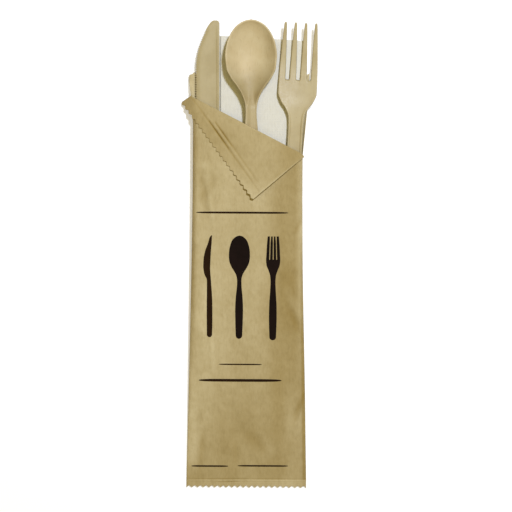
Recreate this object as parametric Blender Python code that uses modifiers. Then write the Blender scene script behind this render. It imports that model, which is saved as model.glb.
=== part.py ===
"""Bamboo cutlery set: knife, spoon, fork and folded napkin in an open paper pouch.

The set lies on its back. Metres, +Z up, +Y towards the heads of the cutlery, and the
origin is at the middle of the pouch's back face, which lies on the ground.
"""

import math

import bmesh
import bpy
import numpy as np

# Paper pouch: flat size, then how far it is open
POUCH_WIDTH = 0.0774
POUCH_TOP = 0.1352
SEAL_LINE = -0.1300
SEAL_LENGTH = 0.0052
PAPER = 0.0003
SEAL_HEIGHT = 0.0009
SEAL_INSET = 0.00005
SEAL_OVERLAP = 0.001
FULL_FROM = 0.055
TOOTH_COUNT = 21
TOOTH_DEPTH = 0.0014
TEAR_WIDTH = 0.0003

# Front panel folded down across a slanted line
FOLD_LEFT = 0.1194
FOLD_RIGHT = 0.0795
FOLD_RADIUS = 0.00035
FOLD_SIDE_SHARE = 0.1
FLAP_CORNER_LEFT = (-0.0430, 0.1160)
FLAP_CORNER_LOW = (0.0042, 0.0523)
FLAP_LIFT = 0.0015
FLAP_DROOP_ANGLE = math.radians(35)
STRIP_FLATTENING = 1.5

# What lies in the pouch rests this far from its neighbours
CLEARANCE = 0.0003

# Napkin: a square folded in four one way and in two the other, a little narrower than the pouch
NAPKIN_SPARE_WIDTH = 0.0174
NAPKIN_SIDE_GAP = 0.0019
NAPKIN_LAYER = 0.00022
NAPKIN_TOP = 0.1575
NAPKIN_TURN = math.radians(-3.15)
NAPKIN_CURL_LEAD = 0.0022

# Cutlery: length, where the tip lies (from the flat pouch's side, and along it) and how far the piece leans
HANDLE_END = 0.006
KNIFE_LENGTH = 0.170
KNIFE_THICKNESS = 0.0022
KNIFE_EDGE_SHARE = 0.4
KNIFE_SPINE_RISE = 0.0003
KNIFE_SIDE_GAP = 0.0198
KNIFE_TIP = 0.1687
KNIFE_LEAN = math.radians(0.35)
KNIFE_TEETH = 44
KNIFE_TOOTH_PITCH = 0.0014
KNIFE_TOOTH_DEPTH = 0.0004
KNIFE_TEETH_FROM = 0.012
KNIFE_CORNER = 0.0018
KNIFE_CORNER_LENGTH = 0.0023
KNIFE_HANDLE_FROM = 0.074
KNIFE_HANDLE_EASE = 0.014
KNIFE_HANDLE_SHIFT = 0.0016
KNIFE_RIB_SHARE = 0.13
KNIFE_RIB_FADE = 0.012

SPOON_LENGTH = 0.170
SPOON_THICKNESS = 0.0013
SPOON_BOWL_LENGTH = 0.057
SPOON_RIM_RISE = 0.0078
SPOON_NECK_RISE = 0.0056
SPOON_DEEPEST = 0.025
SPOON_HOLLOW_POWER = 0.75
SPOON_SIDE_POWER = 2.3
SPOON_OFF_MIDDLE = 0.0016
SPOON_TIP = 0.1693
SPOON_LEAN = math.radians(0.35)

FORK_LENGTH = 0.170
FORK_THICKNESS = 0.0016
FORK_SIDE_GAP = 0.0046
FORK_TIP = 0.1672
FORK_LEAN = math.radians(-2.7)
TINE_LENGTH = 0.0360
TINE_PITCH_ROOT = 0.00695
TINE_PITCH_TIP = 0.0066
TINE_WIDTH_ROOT = 0.00425
TINE_WIDTH_TIP = 0.0014
TINE_FULL_BY = 0.87
TINE_TAPER_POWER = 0.7
TINE_POINT_SHARE = 0.55
SLOT_ROUND = 0.0010
FORK_DISH = 0.0010

# Heights that follow from the sizes above
NAPKIN_WIDTH = POUCH_WIDTH - NAPKIN_SPARE_WIDTH
NAPKIN_LENGTH = 2 * NAPKIN_WIDTH
NAPKIN_THICKNESS = 8 * NAPKIN_LAYER
LOW_SEAT = PAPER + CLEARANCE
CUTLERY_SEAT = LOW_SEAT + NAPKIN_THICKNESS + CLEARANCE
POUCH_HEIGHT = CUTLERY_SEAT + SPOON_NECK_RISE + SPOON_THICKNESS + 2 * CLEARANCE + PAPER
MOUTH_HEIGHT = CUTLERY_SEAT + KNIFE_THICKNESS + CLEARANCE + PAPER

# Lines of the undersides: distance from the tip, then the rise over the lowest point
SPOON_RISES = (
    (0.0, 0.0062), (0.014, 0.0075), (0.030, SPOON_RIM_RISE), (SPOON_BOWL_LENGTH, 0.0066),
    (0.071, SPOON_NECK_RISE), (0.090, 0.0044),
)
FORK_RISES = (
    (0.0, 0.0046), (0.012, 0.0019), (0.028, 0.0), (0.044, 0.0008), (0.062, 0.0025), (0.085, 0.0022),
)

# Outlines: distance from the tip, then the half width (knife: the width from its spine)
KNIFE_WIDTHS = (
    (0.0, 0.0050), (0.0023, 0.0070), (0.0075, 0.0101), (0.0127, 0.0124), (0.0179, 0.0142),
    (0.0240, 0.0154), (0.0300, 0.0159), (0.0740, 0.0159), (0.0800, 0.0146), (0.0880, 0.0118),
    (0.0980, 0.0112), (0.1640, 0.0122),
)
SPOON_WIDTHS = (
    (0.0247, 0.0167), (0.0324, 0.0158), (0.0380, 0.0133), (0.0437, 0.0092), (0.0487, 0.0061),
    (0.0550, 0.0040), (0.0610, 0.0036), (0.0730, 0.0045), (0.1100, 0.0056), (0.1640, 0.0063),
)
FORK_WIDTHS = (
    (0.0376, 0.01265), (0.0456, 0.01265), (0.0510, 0.0108), (0.0560, 0.0073), (0.0610, 0.0052),
    (0.0680, 0.0048), (0.0850, 0.0049), (0.1200, 0.0056), (0.1640, 0.0062),
)


def smooth_value(knots, at):
    """Cubic curve through the knots that never swings past them: a turning knot has a level slope."""
    xs = np.array([knot[0] for knot in knots])
    ys = np.array([knot[1] for knot in knots])
    steps = np.diff(ys) / np.diff(xs)
    before, after = steps[:-1], steps[1:]
    turning = before * after <= 0
    safe = np.where(turning, 1.0, before + after)
    inner = np.where(turning, 0.0, 2 * before * after / safe)
    slopes = np.concatenate([steps[:1], inner, steps[-1:]])
    at = min(max(at, xs[0]), xs[-1])
    i = min(int(np.searchsorted(xs, at, side="right")) - 1, len(xs) - 2)
    step = xs[i + 1] - xs[i]
    t = (at - xs[i]) / step
    start = (1 + 2 * t) * (1 - t) ** 2 * ys[i] + t * (1 - t) ** 2 * step * slopes[i]
    return start + t * t * (3 - 2 * t) * ys[i + 1] + t * t * (t - 1) * step * slopes[i + 1]


def ease(t):
    """0 to 1 with a level start and end."""
    t = min(max(t, 0.0), 1.0)
    return t * t * (3 - 2 * t)


def round_end(left, length):
    """Share of the full width at a distance from a half-round end of this length."""
    t = min(max(left / length, 0.0), 1.0)
    return math.sqrt(1 - (1 - t) ** 2)


def material(name, colour, roughness):
    made = bpy.data.materials.new(name)
    made.use_nodes = True
    shader = made.node_tree.nodes["Principled BSDF"]
    shader.inputs["Base Color"].default_value = (*colour, 1)
    shader.inputs["Roughness"].default_value = roughness
    shader.inputs["Metallic"].default_value = 0
    return made


def grid_object(name, columns, rows, place, keep, collection):
    """A grid whose corner (column, row) goes to place(column, row); keep(column, row) picks its faces."""
    shape = bmesh.new()
    bmesh.ops.create_grid(shape, x_segments=columns, y_segments=rows, size=0.5)
    corners = {}
    for corner in shape.verts:
        corners[corner] = (round((corner.co.x + 0.5) * columns), round((corner.co.y + 0.5) * rows))
    dropped = []
    for face in shape.faces:
        column = min(corners[corner][0] for corner in face.verts)
        row = min(corners[corner][1] for corner in face.verts)
        if not keep(column, row):
            dropped.append(face)
    for corner, (column, row) in corners.items():
        corner.co = place(column, row)
    bmesh.ops.delete(shape, geom=dropped, context="FACES")
    bmesh.ops.remove_doubles(shape, verts=shape.verts, dist=1e-6)
    mesh = bpy.data.meshes.new(name)
    shape.to_mesh(mesh)
    shape.free()
    made = bpy.data.objects.new(name, mesh)
    collection.objects.link(made)
    return made


def add_thickness(piece, thickness, edge_group=None, edge_share=1.0):
    """Solidify behind the surface's faces, thinner where the vertex group is weak."""
    wall = piece.modifiers.new("thickness", "SOLIDIFY")
    wall.thickness = thickness
    wall.offset = -1
    if edge_group:
        wall.vertex_group = edge_group
        wall.thickness_vertex_group = edge_share
    return wall


def bulge(y):
    """Height of the pouch at y: it grows from the seal, and eases down to the mouth's left corner."""
    t = min(max((y - SEAL_LINE) / (FULL_FROM - SEAL_LINE), 0.0), 1.0)
    grown = (t + math.sin(math.pi / 2 * t)) / 2
    height = SEAL_HEIGHT + (POUCH_HEIGHT - SEAL_HEIGHT) * grown
    mouth_middle = (FOLD_LEFT + FOLD_RIGHT) / 2
    closing = ease((y - mouth_middle) / (FOLD_LEFT - mouth_middle))
    return height + (MOUTH_HEIGHT - POUCH_HEIGHT) * closing


def section(across, height):
    """Flat sheet with round sides: the point at a paper length across, and its rise from mid height."""
    radius = height / 2
    level = POUCH_WIDTH / 2 - math.pi / 2 * radius
    if abs(across) <= level:
        return across, radius
    turn = (abs(across) - level) / radius
    return math.copysign(level + radius * math.sin(turn), across), radius * math.cos(turn)


def back_rise(x, y):
    """Height of the back panel's outer face over the ground at a point of the plan."""
    height = bulge(y)
    if y > FOLD_RIGHT:
        height *= max(1 - (y - FOLD_RIGHT) / (POUCH_TOP - FOLD_RIGHT), 0.0) ** STRIP_FLATTENING
    radius = height / 2
    past = max(abs(x) - (POUCH_WIDTH / 2 - math.pi / 2 * radius), 0.0)
    return radius - math.sqrt(max(radius**2 - past**2, 0.0))


def flap_rise(x, y):
    """Height of the folded flap's lower face: it follows the front panel, and sticks out straight at the left."""
    height = bulge(y)
    radius = height / 2
    outer = radius + 2 * FOLD_RADIUS
    past = abs(x) - (POUCH_WIDTH / 2 - math.pi / 2 * radius)
    if past <= 0:
        return radius + outer
    leaves = outer * math.sin(FLAP_DROOP_ANGLE)
    if x > 0 or past <= leaves:
        return radius + math.sqrt(max(outer**2 - past**2, 0.0))
    return radius + outer * math.cos(FLAP_DROOP_ANGLE) - math.tan(FLAP_DROOP_ANGLE) * (past - leaves)


# Rows of the pouch's grid: shares of the way up the closed tube, of the back strip and down the flap
TUBE_ROWS = (0, 0.1, 0.24, 0.4, 0.56, 0.7, 0.82, 0.91, 1)
STRIP_ROWS = (0.3, 0.65, 1)
ARC_ROWS = (60, 120, 180)
FLAP_ROWS = (0.04, 0.1, 0.2, 0.45, 1)


def column_across(column, half):
    """Paper length from the middle, at a column counted left to right."""
    if column in (0, half):
        return POUCH_WIDTH * (column / half - 0.5)
    share = (column - 1) / (half - 2)
    return (POUCH_WIDTH - 2 * TEAR_WIDTH) * (share - 0.5)


def fold_line(across):
    return FOLD_LEFT + (FOLD_RIGHT - FOLD_LEFT) * (across / POUCH_WIDTH + 0.5)


def flap_point(across, share, tooth):
    """Point of the flap at a share of the way from the fold line to the serrated edge."""
    side = across / POUCH_WIDTH + 0.5
    start = np.array([section(across, bulge(fold_line(across)))[0], fold_line(across)])
    near_side = max(1 - (0.5 - abs(side - 0.5)) / FOLD_SIDE_SHARE, 0)
    start[0] += 2 * FOLD_RADIUS * near_side * math.copysign(1, across)
    left, low = np.array(FLAP_CORNER_LEFT), np.array(FLAP_CORNER_LOW)
    along = (low - left) / np.linalg.norm(low - left)
    end = left + (low - left) * side + np.array([along[1], -along[0]]) * tooth
    x, y = start + (end - start) * share
    return np.array([x, y, flap_rise(x, y) + FLAP_LIFT * share * side**3])


def pouch_point(column, row):
    half = TOOTH_COUNT * 2 + 2
    front = column <= half
    across = column_across(column if front else 2 * half - column, half)
    tooth = TOOTH_DEPTH * (column % 2)
    fold = fold_line(across)
    if row < len(TUBE_ROWS):
        y = SEAL_LINE + (fold - SEAL_LINE) * TUBE_ROWS[row]
        x, rise = section(across, bulge(y))
        middle = bulge(y) / 2
        return x, y, middle + rise if front else middle - rise
    step = row - len(TUBE_ROWS)
    if not front:
        share = STRIP_ROWS[min(step, len(STRIP_ROWS) - 1)]
        y = fold + (POUCH_TOP - fold) * share
        height = bulge(fold) * (1 - share) ** STRIP_FLATTENING
        x, rise = section(across, height)
        return x, y - tooth * (share == 1), height / 2 - rise
    if step >= len(ARC_ROWS):
        share = FLAP_ROWS[step - len(ARC_ROWS)]
        return flap_point(across, share, tooth * (share == 1))
    x, rise = section(across, bulge(fold))
    edge = np.array([x, fold, bulge(fold) / 2 + rise])
    over = flap_point(across, 0, 0)
    slope = np.array([FOLD_LEFT - FOLD_RIGHT, POUCH_WIDTH, 0])
    outward = slope / np.linalg.norm(slope) * np.linalg.norm(over - edge) / 2
    turn = math.radians(ARC_ROWS[step])
    return edge + (over - edge) * (1 - math.cos(turn)) / 2 + outward * math.sin(turn)


def pouch_keeps(column, row):
    """The tube is whole; past the fold line the side folds are torn open, and the back strip is shorter."""
    half = TOOTH_COUNT * 2 + 2
    if row < len(TUBE_ROWS) - 1:
        return True
    if column in (0, half - 1, half, 2 * half - 1):
        return False
    return column < half or row < len(TUBE_ROWS) - 1 + len(STRIP_ROWS)


def make_seal(helpers):
    """Flat crimped band with a zigzag lower edge, which closes the tube's lower end."""
    half_width = section(POUCH_WIDTH / 2, SEAL_HEIGHT)[0] - 2 * SEAL_INSET

    def place(column, row):
        tooth = TOOTH_DEPTH * (column % 2 == 0)
        y = SEAL_LINE + SEAL_OVERLAP if row else SEAL_LINE - SEAL_LENGTH + tooth
        return half_width * (column / TOOTH_COUNT - 1), y, SEAL_HEIGHT - SEAL_INSET

    seal = grid_object("seal_band", 2 * TOOTH_COUNT, 1, place, lambda column, row: True, helpers)
    add_thickness(seal, SEAL_HEIGHT - 2 * SEAL_INSET)
    seal.hide_render = True
    seal.display_type = "WIRE"
    return seal


def make_pouch(parts, helpers, finish):
    columns = 2 * (TOOTH_COUNT * 2 + 2)
    rows = len(TUBE_ROWS) - 1 + len(ARC_ROWS) + len(FLAP_ROWS)
    pouch = grid_object("kraft_bag", columns, rows, pouch_point, pouch_keeps, parts)
    add_thickness(pouch, PAPER)
    joined = pouch.modifiers.new("seal", "BOOLEAN")
    joined.operation = "UNION"
    joined.solver = "EXACT"
    joined.object = make_seal(helpers)
    pouch.data.materials.append(finish)
    return pouch


def make_napkin(parts, finish):
    """Strip of eight layers that lies along the back panel and follows its rounded side."""
    columns, rows = 10, 12
    middle = POUCH_WIDTH / 2 - NAPKIN_SIDE_GAP - NAPKIN_WIDTH / 2
    cos, sin = math.cos(NAPKIN_TURN), math.sin(NAPKIN_TURN)

    def place(column, row):
        x = NAPKIN_WIDTH * (column / columns - 0.5)
        y = NAPKIN_LENGTH * (row / rows - 1)
        x, y = middle + x * cos - y * sin, NAPKIN_TOP + x * sin + y * cos
        curl = back_rise(x + math.copysign(NAPKIN_CURL_LEAD, x), y)
        return x, y, LOW_SEAT + NAPKIN_THICKNESS + curl

    napkin = grid_object("napkin", columns, rows, place, lambda column, row: True, parts)
    add_thickness(napkin, NAPKIN_THICKNESS)
    napkin.data.materials.append(finish)
    return napkin


def between(start, end, shares):
    return [start + (end - start) * share for share in shares]


def end_rows(length):
    """Rows that close the half-round end of a handle."""
    return between(length - HANDLE_END, length, (0, 0.25, 0.67, 0.9, 1))


def knife_rows():
    """Distances from the tip: the round tip, then two rows for each tooth, then the handle."""
    rows = between(0, KNIFE_TEETH_FROM, (0, 0.07, 0.19, 0.4, 0.68))
    for point in range(2 * KNIFE_TEETH + 1):
        rows.append(KNIFE_TEETH_FROM + point * KNIFE_TOOTH_PITCH / 2)
    return rows + between(rows[-1], KNIFE_LENGTH - HANDLE_END, (0.2, 0.4, 0.7)) + end_rows(KNIFE_LENGTH)


def make_knife(parts, finish):
    """Blade with a rib along its spine and a thin toothed edge; the handle widens to a round end."""
    shares = (0.0, 0.7 * KNIFE_RIB_SHARE, KNIFE_RIB_SHARE, 0.55, 1.0)
    rows = knife_rows()
    first_tooth = rows.index(KNIFE_TEETH_FROM)

    def handle_share(gone):
        return ease((gone - KNIFE_HANDLE_FROM) / KNIFE_HANDLE_EASE)

    def place(column, row):
        gone = rows[row]
        width = smooth_value(KNIFE_WIDTHS, gone)
        toothed = 0 < row - first_tooth < 2 * KNIFE_TEETH and (row - first_tooth) % 2
        corner = KNIFE_CORNER * (1 - round_end(gone, KNIFE_CORNER_LENGTH))
        x = -corner - (width - corner - KNIFE_TOOTH_DEPTH * bool(toothed)) * shares[column]
        middle = -width / 2
        x = middle + (x - middle) * round_end(KNIFE_LENGTH - gone, HANDLE_END)
        x -= KNIFE_HANDLE_SHIFT * handle_share(gone)
        rib = KNIFE_SPINE_RISE * (shares[column] < KNIFE_RIB_SHARE)
        rib *= ease(gone / KNIFE_RIB_FADE) * (1 - handle_share(gone))
        return x, -gone, CUTLERY_SEAT + KNIFE_THICKNESS - KNIFE_SPINE_RISE + rib

    knife = grid_object("knife", len(shares) - 1, len(rows) - 1, place, lambda column, row: True, parts)
    thick = knife.vertex_groups.new(name="thick")
    for corner in knife.data.vertices:
        gone = -corner.co.y
        across = -corner.co.x / smooth_value(KNIFE_WIDTHS, gone)
        edge = min(max((across - KNIFE_RIB_SHARE) / (1 - KNIFE_RIB_SHARE), 0.0), 1.0) * (1 - handle_share(gone))
        thick.add([corner.index], 1 - edge, "REPLACE")
    add_thickness(knife, KNIFE_THICKNESS - KNIFE_SPINE_RISE, "thick", KNIFE_EDGE_SHARE)
    knife.data.materials.append(finish)
    knife.location = (KNIFE_SIDE_GAP - POUCH_WIDTH / 2, KNIFE_TIP, 0)
    knife.rotation_euler.z = KNIFE_LEAN
    return knife


def spoon_half_width(gone):
    """Half an ellipse at the tip, then the outline's own curve, then a half-round end."""
    widest = SPOON_WIDTHS[0][0]
    if gone < widest:
        return SPOON_WIDTHS[0][1] * math.sqrt(1 - (1 - gone / widest) ** 2)
    return smooth_value(SPOON_WIDTHS, gone) * round_end(SPOON_LENGTH - gone, HANDLE_END)


def spoon_height(gone, share):
    """Underside: the bowl hangs from its rim; the handle is a low arch that comes down to the back panel."""
    rises = SPOON_RISES + ((SPOON_LENGTH, LOW_SEAT - CUTLERY_SEAT),)
    reach = SPOON_DEEPEST if gone < SPOON_DEEPEST else SPOON_BOWL_LENGTH - SPOON_DEEPEST
    hollow = max(1 - ((gone - SPOON_DEEPEST) / reach) ** 2, 0)
    depth = SPOON_RIM_RISE * hollow**SPOON_HOLLOW_POWER
    return CUTLERY_SEAT + smooth_value(rises, gone) - depth * (1 - share**SPOON_SIDE_POWER)


def make_spoon(parts, finish):
    """Half of the spoon as an open surface, mirrored across its long middle plane."""
    columns = 6
    widest = SPOON_WIDTHS[0][0]
    rows = [widest * (1 - math.cos(math.radians(angle))) for angle in range(0, 90, 13)]
    rows += between(widest, SPOON_BOWL_LENGTH, (0, 0.16, 0.32, 0.47, 0.61, 0.75, 0.88, 1))
    rows += between(SPOON_BOWL_LENGTH, SPOON_LENGTH - HANDLE_END, (0.06, 0.14, 0.26, 0.45, 0.7))
    rows += end_rows(SPOON_LENGTH)

    def place(column, row):
        share = column / columns
        return spoon_half_width(rows[row]) * share, -rows[row], spoon_height(rows[row], share)

    spoon = grid_object("spoon", columns, len(rows) - 1, place, lambda column, row: True, parts)
    add_mirror(spoon)
    add_thickness(spoon, SPOON_THICKNESS)
    spoon.data.materials.append(finish)
    spoon.location = (SPOON_OFF_MIDDLE, SPOON_TIP, 0)
    spoon.rotation_euler.z = SPOON_LEAN
    return spoon


def add_mirror(piece):
    mirror = piece.modifiers.new("other half", "MIRROR")
    mirror.use_axis = (True, False, False)
    mirror.use_clip = True
    mirror.merge_threshold = 0.00001


def tine_edges(gone):
    """Edges across half of the head: middle slot, inner tine, slot and outer tine."""
    t = gone / TINE_LENGTH
    width = TINE_WIDTH_TIP + (TINE_WIDTH_ROOT - TINE_WIDTH_TIP) * min(t / TINE_FULL_BY, 1) ** TINE_TAPER_POWER
    width *= TINE_POINT_SHARE + (1 - TINE_POINT_SHARE) * round_end(gone, TINE_WIDTH_TIP)
    pitch = TINE_PITCH_TIP + (TINE_PITCH_ROOT - TINE_PITCH_TIP) * t
    inner, outer = pitch / 2, pitch * 1.5
    slot = (inner + outer) / 2
    return (
        0, inner - width / 2, inner, inner + width / 2,
        slot, outer - width / 2, outer, outer + width / 2,
    )


def fork_height(gone, x):
    """Underside: the head rests on its belly, and the handle comes down to the back panel."""
    rises = FORK_RISES + ((FORK_LENGTH, LOW_SEAT - CUTLERY_SEAT),)
    return CUTLERY_SEAT + smooth_value(rises, gone) + FORK_DISH * (x / FORK_WIDTHS[0][1]) ** 2


def make_fork(parts, finish):
    """Half of the fork as an open surface with its slots left out, mirrored across its middle plane."""
    neck = FORK_WIDTHS[4][0]
    rows = between(0, TINE_LENGTH, (0, 0.02, 0.055, 0.19, 0.37, 0.56, 0.74, 0.9, 1))
    slot_row = len(rows) - 1
    rows += between(TINE_LENGTH, neck, (0.15, 0.34, 0.48, 0.61, 0.74, 0.87, 1))
    rows += between(neck, FORK_LENGTH - HANDLE_END, (0.07, 0.17, 0.33, 0.57, 0.8))
    rows += end_rows(FORK_LENGTH)
    root = tine_edges(TINE_LENGTH)
    slots = (0, 3, 4)

    def place(column, row):
        gone = rows[row]
        if row <= slot_row:
            x = tine_edges(gone)[column]
        else:
            half = smooth_value(FORK_WIDTHS, gone) * round_end(FORK_LENGTH - gone, HANDLE_END)
            x = half * root[column] / root[-1]
        y = -gone - SLOT_ROUND * (row == slot_row and column in (0, 4))
        return x, y, fork_height(gone, x)

    def keep(column, row):
        return row >= slot_row or column not in slots

    fork = grid_object("fork", len(root) - 1, len(rows) - 1, place, keep, parts)
    add_mirror(fork)
    add_thickness(fork, FORK_THICKNESS)
    fork.data.materials.append(finish)
    fork.location = (POUCH_WIDTH / 2 - FORK_SIDE_GAP, FORK_TIP, 0)
    fork.rotation_euler.z = FORK_LEAN
    return fork


def main():
    for leftover in list(bpy.data.objects):
        bpy.data.objects.remove(leftover, do_unlink=True)
    parts = bpy.data.collections.new("bamboo_cutlery_set")
    helpers = bpy.data.collections.new("cutters")
    bpy.context.scene.collection.children.link(parts)
    bpy.context.scene.collection.children.link(helpers)
    kraft = material("brown kraft paper", (0.47, 0.38, 0.22), 0.85)
    bamboo = material("pale bamboo fibre", (0.51, 0.43, 0.26), 0.5)
    tissue = material("white tissue", (0.69, 0.67, 0.61), 0.9)
    make_pouch(parts, helpers, kraft)
    make_napkin(parts, tissue)
    make_knife(parts, bamboo)
    make_spoon(parts, bamboo)
    make_fork(parts, bamboo)
    for piece in parts.objects:
        piece.data.shade_smooth()
        piece.data.set_sharp_from_angle(angle=math.radians(40))


main()
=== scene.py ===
import math

import bmesh
import bpy
import numpy as np
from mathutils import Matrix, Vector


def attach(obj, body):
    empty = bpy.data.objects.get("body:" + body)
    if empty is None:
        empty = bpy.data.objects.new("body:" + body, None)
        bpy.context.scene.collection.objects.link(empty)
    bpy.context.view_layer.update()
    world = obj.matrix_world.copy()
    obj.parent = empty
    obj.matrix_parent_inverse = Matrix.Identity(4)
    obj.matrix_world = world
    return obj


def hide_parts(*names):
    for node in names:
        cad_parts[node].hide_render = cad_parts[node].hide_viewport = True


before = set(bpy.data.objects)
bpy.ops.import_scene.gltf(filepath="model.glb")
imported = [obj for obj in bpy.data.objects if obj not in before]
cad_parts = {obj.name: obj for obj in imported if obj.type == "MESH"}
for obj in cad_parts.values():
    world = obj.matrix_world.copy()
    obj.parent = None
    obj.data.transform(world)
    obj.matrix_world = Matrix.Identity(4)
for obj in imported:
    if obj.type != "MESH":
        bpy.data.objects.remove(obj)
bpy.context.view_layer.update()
print("frame loaded:", sorted(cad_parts))

# Metres, +Z up, +Y towards the heads of the cutlery. The set lies on its back on the floor.


# Curves and grids that every piece uses
def metres(rows):  # a table written in millimetres
    return [tuple(value / 1000 for value in row) for row in rows]


def eased(t):  # 0 to 1 with a level start and end: t x t x (3 - 2t)
    t = np.clip(t, 0, 1)
    return t * t * (3 - 2 * t)


def ramp(value, start, end):  # eased from 0 at the start to 1 at the end, which may be the lower one
    return eased((value - start) / (end - start))


def bell(value, middle, wide):  # bell curve: 1 in the middle, 0.37 at a half width from it
    return np.exp(-((value - middle) / wide) ** 2)


def roundEnd(left, length):  # quarter circle: share of the full size at a distance from an edge
    t = np.clip(left / length, 0, 1)
    return np.sqrt(1 - (1 - t) ** 2)


def curveThrough(knots, at):
    # Cubic between each two knots; a knot's slope is the harmonic mean of the slopes beside it, and
    # level where they turn, so the curve never swings past a knot
    xs, ys = np.array(knots).T
    steps = np.diff(ys) / np.diff(xs)
    before, after = steps[:-1], steps[1:]
    turning = before * after <= 0
    inner = np.where(turning, 0, 2 * before * after / np.where(turning, 1, before + after))
    slopes = np.concatenate([steps[:1], inner, steps[-1:]])
    at = np.clip(at, xs[0], xs[-1])
    i = np.clip(np.searchsorted(xs, at, side="right") - 1, 0, len(xs) - 2)
    step = xs[i + 1] - xs[i]
    t = (at - xs[i]) / step
    start = (1 + 2 * t) * (1 - t) ** 2 * ys[i] + t * (1 - t) ** 2 * step * slopes[i]
    return start + t * t * (3 - 2 * t) * ys[i + 1] + t * t * (t - 1) * step * slopes[i + 1]


def stations(*stretches):  # (start, end, count) stretches joined into one rising list
    parts = [np.linspace(start, end, count, endpoint=False) for start, end, count in stretches]
    return np.concatenate(parts + [[stretches[-1][1]]])


def closingIn(size, rows):  # rising to the size by a quarter sine, so rows crowd at the end
    return size * np.sin(np.linspace(0, math.pi / 2, rows))


def grid(*values):  # x, y and z, or x and y, of every corner side by side
    return np.stack(np.broadcast_arrays(*values), axis=-1)


def gridQuads(rows, columns, keep=None, flip=False):  # corner numbers of each face of the grid
    index = np.arange(rows * columns).reshape(rows, columns)
    quads = np.stack([index[:-1, :-1], index[:-1, 1:], index[1:, 1:], index[1:, :-1]], axis=-1)
    quads = quads.reshape(-1, 4) if keep is None else quads[keep]
    return quads[:, ::-1] if flip else quads


def allFaces(points):  # a mark for each face of a grid of corners
    return np.ones((points.shape[0] - 1, points.shape[1] - 1), bool)


def addObject(name, data):  # a new object in the scene
    made = bpy.data.objects.new(name, data)
    bpy.context.scene.collection.objects.link(made)
    return made


def addPiece(name, points, quads, finish, slotName, nodeName=None, recalc=False, toneAndPaintedLight=None):
    # A mesh of the corners and faces: corners in one place become one, and those of no face are deleted
    mesh = bpy.data.meshes.new(name)
    mesh.from_pydata(points.reshape(-1, 3), [], quads)
    if toneAndPaintedLight is not None:  # how far the colour goes towards the finish's deeper tint, at each corner: painted shade and light, and some tone
        layer = mesh.attributes.new("toneAndPaintedLight", "FLOAT", "POINT")
        layer.data.foreach_set("value", toneAndPaintedLight.ravel().astype(np.float32))
    shape = bmesh.new()
    shape.from_mesh(mesh)
    bmesh.ops.remove_doubles(shape, verts=shape.verts, dist=2e-6)
    bmesh.ops.dissolve_degenerate(shape, edges=shape.edges, dist=1e-7)
    loose = [corner for corner in shape.verts if not corner.link_faces]
    bmesh.ops.delete(shape, geom=loose, context="VERTS")
    if recalc:  # a closed form's faces are turned outwards
        bmesh.ops.recalc_face_normals(shape, faces=shape.faces)
    shape.to_mesh(mesh)
    shape.free()
    mesh.validate()
    mesh.shade_smooth()
    mesh.materials.append(finish)
    piece = addObject(name, mesh)
    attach(piece, "root")
    if nodeName:
        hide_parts(nodeName)
    return piece


def addWall(piece, name, thickness, offset):  # a sheet gets its thickness
    wall = piece.modifiers.new(name, "SOLIDIFY")
    wall.thickness = thickness
    wall.offset = offset


def borderDistance(plan, keep):
    # Shortest way from each corner of the grid to the border of its kept faces: for each border
    # segment, the distance to the nearest point on it, and the least of them.
    rows, columns = plan.shape[:2]
    padded = np.zeros((rows + 1, columns + 1), bool)
    padded[1:-1, 1:-1] = keep
    level = padded[1:, 1:-1] != padded[:-1, 1:-1]
    upright = padded[1:-1, 1:] != padded[1:-1, :-1]
    start = np.concatenate([plan[:, :-1][level], plan[:-1][upright]])
    end = np.concatenate([plan[:, 1:][level], plan[1:][upright]])
    along = end - start
    size = np.maximum((along ** 2).sum(1), 1e-16)
    nearest = []
    for block in np.array_split(plan.reshape(-1, 2), 24):  # in blocks, to save memory
        offset = block[:, None] - start
        t = np.clip((offset * along).sum(2) / size, 0, 1)
        nearest.append(np.sqrt(((offset - t[..., None] * along) ** 2).sum(2).min(1)))
    return np.concatenate(nearest).reshape(rows, columns)


def surfaceNormals(points):  # cross product of the grid's two directions, turned upwards
    down, across = np.gradient(points, axis=0), np.gradient(points, axis=1)
    normal = np.cross(across, down)
    normal *= np.where(normal[..., 2:] < 0, -1, 1)
    size = np.linalg.norm(normal, axis=2, keepdims=True)
    return np.where(size > 1e-12, normal / np.maximum(size, 1e-12), [0, 0, 1])


def placed(points, piece):  # drawn down from its tip: leaned about the tip, which goes to its place
    cos, sin = math.cos(piece["lean"]), math.sin(piece["lean"])
    x, y, z = np.moveaxis(points, -1, 0)
    return grid(piece["tip"][0] + x * cos - y * sin, piece["tip"][1] + x * sin + y * cos, z)


def closedForm(top, bottom, keep=None):  # corners and faces of two grids that meet along their border
    rows, columns = top.shape[:2]
    quads = gridQuads(rows, columns, keep)
    points = np.concatenate([top.reshape(-1, 3), bottom.reshape(-1, 3)])
    return points, np.concatenate([quads, quads[:, ::-1] + rows * columns])


# Nodes, and the node groups that several finishes share
def feed(tree, value, socket):  # links another node's socket, or sets a plain value
    if isinstance(value, bpy.types.NodeSocket):
        tree.links.new(value, socket)
    else:
        socket.default_value = value


def addNode(tree, kind, settings=None, **sockets):  # settings by name, then its sockets by name
    node = tree.nodes.new("ShaderNode" + kind)
    for key, value in (settings or {}).items():
        setattr(node, key, value)
    for key, value in sockets.items():
        feed(tree, value, node.inputs[key])
    return node


def worked(tree, operation, first, second):  # one sum or product
    node = addNode(tree, "Math", {"operation": operation})
    feed(tree, first, node.inputs[0])
    feed(tree, second, node.inputs[1])
    return node.outputs[0]


def summed(tree, *terms):  # sum of value x weight pairs
    total = None
    for value, weight in terms:
        part = worked(tree, "MULTIPLY", value, weight)
        total = part if total is None else worked(tree, "ADD", total, part)
    return total


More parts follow.
